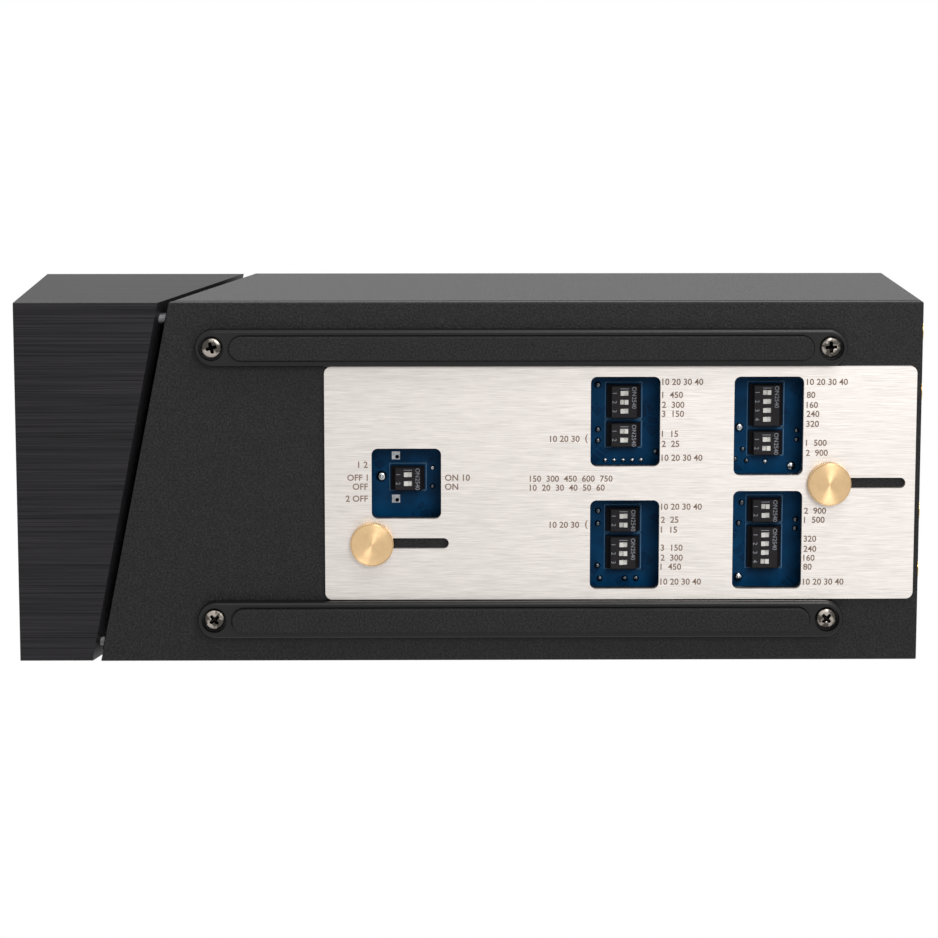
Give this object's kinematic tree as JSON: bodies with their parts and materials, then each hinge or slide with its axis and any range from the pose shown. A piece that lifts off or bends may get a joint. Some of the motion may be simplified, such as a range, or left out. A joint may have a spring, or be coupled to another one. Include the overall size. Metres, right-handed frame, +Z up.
{
  "type": "phono preamp",
  "caption": "Long low phono preamp with an oblique open joint behind its front block, and a sliding plate underneath over five windows of setting switches.",
  "frame": {"origin": "bottom centre of the overall box, on the plane the foot pads rest on", "axes": "+Z up, front face towards -Y, sockets towards +Y, +X to the right seen from the front"},
  "size_m": [0.102, 0.2648, 0.09],
  "materials": {
    "block_anodised": "dark brushed anodised",
    "case_paint": "fine textured black powder coat",
    "plate_brushed": "pale brushed anodised",
    "brass_turned": "turned satin",
    "rail_black": "satin moulded",
    "pad_rubber": "matt",
    "screw_nickel": "nickel plated",
    "screw_steel": "zinc plated",
    "board_blue": "solder mask",
    "solder": "bright solder",
    "standoff_brass": "nickel plated",
    "switch_body": "moulded",
    "contact_gold": "gold plated",
    "lever_white": "moulded",
    "capacitor_sleeve": "shrink sleeve",
    "relay_case": "moulded",
    "socket_gold": "gold plated",
    "insulator_white": "moulded",
    "inlet_black": "moulded",
    "button_metal": "turned anodised",
    "lens_clear": "clear"
  },
  "bodies": {
    "case": {"front_block": "block_anodised", "front_bulkhead": "case_paint", "joint_spacers": "screw_nickel", "bottom_panel": "case_paint", "top_cover": "case_paint", "rear_panel": "case_paint", "foot_rail_right": "rail_black", "foot_rail_left": "rail_black", "foot_pad_right": "pad_rubber", "foot_pad_left": "pad_rubber", "foot_screws": "screw_nickel", "main_board": "board_blue", "board_standoffs": "standoff_brass", "machine_screws": "screw_steel", "solder_joints": "solder", "switch_bank_1": "switch_body", "switch_bank_2": "switch_body", "switch_bank_3": "switch_body", "switch_bank_4": "switch_body", "switch_bank_5": "switch_body", "switch_contacts": "contact_gold", "capacitors": "capacitor_sleeve", "relays": "relay_case", "rca_shells": "socket_gold", "rca_insulators": "insulator_white", "rca_contacts": "socket_gold", "ground_post": "socket_gold", "dc_inlet": "inlet_black", "power_switch": "inlet_black", "front_board": "board_blue", "status_lens": "lens_clear"},
    "cover_plate": {"slide_plate": "plate_brushed"},
    "front_thumbscrew": {"thumbscrew_front": "brass_turned"},
    "rear_thumbscrew": {"thumbscrew_rear": "brass_turned"},
    "ground_nut": {"ground_nut": "socket_gold"},
    "power_button": {"power_button": "button_metal"},
    "lever_1_1": {"switch_lever_1_1": "lever_white"},
    "lever_1_2": {"switch_lever_1_2": "lever_white"},
    "lever_2_1": {"switch_lever_2_1": "lever_white"},
    "lever_2_2": {"switch_lever_2_2": "lever_white"},
    "lever_2_3": {"switch_lever_2_3": "lever_white"},
    "lever_2_4": {"switch_lever_2_4": "lever_white"},
    "lever_2_5": {"switch_lever_2_5": "lever_white"},
    "lever_3_1": {"switch_lever_3_1": "lever_white"},
    "lever_3_2": {"switch_lever_3_2": "lever_white"},
    "lever_3_3": {"switch_lever_3_3": "lever_white"},
    "lever_3_4": {"switch_lever_3_4": "lever_white"},
    "lever_3_5": {"switch_lever_3_5": "lever_white"},
    "lever_4_1": {"switch_lever_4_1": "lever_white"},
    "lever_4_2": {"switch_lever_4_2": "lever_white"},
    "lever_4_3": {"switch_lever_4_3": "lever_white"},
    "lever_4_4": {"switch_lever_4_4": "lever_white"},
    "lever_4_5": {"switch_lever_4_5": "lever_white"},
    "lever_4_6": {"switch_lever_4_6": "lever_white"},
    "lever_5_1": {"switch_lever_5_1": "lever_white"},
    "lever_5_2": {"switch_lever_5_2": "lever_white"},
    "lever_5_3": {"switch_lever_5_3": "lever_white"},
    "lever_5_4": {"switch_lever_5_4": "lever_white"},
    "lever_5_5": {"switch_lever_5_5": "lever_white"},
    "lever_5_6": {"switch_lever_5_6": "lever_white"}
  },
  "joints": [
    {"name": "plate_slide", "type": "slide", "parent": "case", "child": "cover_plate", "axis": [0, -1, 0], "range_m": [0, 0.0198]},
    {"name": "front_thumbscrew_turn", "type": "hinge", "parent": "case", "child": "front_thumbscrew", "pos_m": [-0.017, -0.0311, 0.006], "axis": [0, 0, -1], "range_deg": [0, 360]},
    {"name": "rear_thumbscrew_turn", "type": "hinge", "parent": "case", "child": "rear_thumbscrew", "pos_m": [0, 0.0973, 0.006], "axis": [0, 0, -1], "range_deg": [0, 360]},
    {"name": "ground_nut_turn", "type": "hinge", "parent": "case", "child": "ground_nut", "pos_m": [0, 0.1256, 0.067], "axis": [0, 1, 0], "range_deg": [0, 360]},
    {"name": "power_button_press", "type": "slide", "parent": "case", "child": "power_button", "axis": [0, 1, 0], "range_m": [0, 0.0012], "stiffness_N_per_m": 800, "springref_m": -0.001},
    {"name": "lever_1_1_slide", "type": "slide", "parent": "case", "child": "lever_1_1", "axis": [0, 1, 0], "range_m": [0, 0.00115]},
    {"name": "lever_1_2_slide", "type": "slide", "parent": "case", "child": "lever_1_2", "axis": [0, 1, 0], "range_m": [0, 0.00115]},
    {"name": "lever_2_1_slide", "type": "slide", "parent": "case", "child": "lever_2_1", "axis": [0, 1, 0], "range_m": [0, 0.00115]},
    {"name": "lever_2_2_slide", "type": "slide", "parent": "case", "child": "lever_2_2", "axis": [0, 1, 0], "range_m": [-0.00115, 0]},
    {"name": "lever_2_3_slide", "type": "slide", "parent": "case", "child": "lever_2_3", "axis": [0, 1, 0], "range_m": [0, 0.00115]},
    {"name": "lever_2_4_slide", "type": "slide", "parent": "case", "child": "lever_2_4", "axis": [0, 1, 0], "range_m": [-0.00115, 0]},
    {"name": "lever_2_5_slide", "type": "slide", "parent": "case", "child": "lever_2_5", "axis": [0, 1, 0], "range_m": [0, 0.00115]},
    {"name": "lever_3_1_slide", "type": "slide", "parent": "case", "child": "lever_3_1", "axis": [0, 1, 0], "range_m": [0, 0.00115]},
    {"name": "lever_3_2_slide", "type": "slide", "parent": "case", "child": "lever_3_2", "axis": [0, 1, 0], "range_m": [-0.00115, 0]},
    {"name": "lever_3_3_slide", "type": "slide", "parent": "case", "child": "lever_3_3", "axis": [0, 1, 0], "range_m": [0, 0.00115]},
    {"name": "lever_3_4_slide", "type": "slide", "parent": "case", "child": "lever_3_4", "axis": [0, 1, 0], "range_m": [-0.00115, 0]},
    {"name": "lever_3_5_slide", "type": "slide", "parent": "case", "child": "lever_3_5", "axis": [0, 1, 0], "range_m": [0, 0.00115]},
    {"name": "lever_4_1_slide", "type": "slide", "parent": "case", "child": "lever_4_1", "axis": [0, 1, 0], "range_m": [-0.00115, 0]},
    {"name": "lever_4_2_slide", "type": "slide", "parent": "case", "child": "lever_4_2", "axis": [0, 1, 0], "range_m": [0, 0.00115]},
    {"name": "lever_4_3_slide", "type": "slide", "parent": "case", "child": "lever_4_3", "axis": [0, 1, 0], "range_m": [0, 0.00115]},
    {"name": "lever_4_4_slide", "type": "slide", "parent": "case", "child": "lever_4_4", "axis": [0, 1, 0], "range_m": [0, 0.00115]},
    {"name": "lever_4_5_slide", "type": "slide", "parent": "case", "child": "lever_4_5", "axis": [0, 1, 0], "range_m": [0, 0.00115]},
    {"name": "lever_4_6_slide", "type": "slide", "parent": "case", "child": "lever_4_6", "axis": [0, 1, 0], "range_m": [-0.00115, 0]},
    {"name": "lever_5_1_slide", "type": "slide", "parent": "case", "child": "lever_5_1", "axis": [0, 1, 0], "range_m": [-0.00115, 0]},
    {"name": "lever_5_2_slide", "type": "slide", "parent": "case", "child": "lever_5_2", "axis": [0, 1, 0], "range_m": [0, 0.00115]},
    {"name": "lever_5_3_slide", "type": "slide", "parent": "case", "child": "lever_5_3", "axis": [0, 1, 0], "range_m": [0, 0.00115]},
    {"name": "lever_5_4_slide", "type": "slide", "parent": "case", "child": "lever_5_4", "axis": [0, 1, 0], "range_m": [0, 0.00115]},
    {"name": "lever_5_5_slide", "type": "slide", "parent": "case", "child": "lever_5_5", "axis": [0, 1, 0], "range_m": [0, 0.00115]},
    {"name": "lever_5_6_slide", "type": "slide", "parent": "case", "child": "lever_5_6", "axis": [0, 1, 0], "range_m": [-0.00115, 0]}
  ]
}
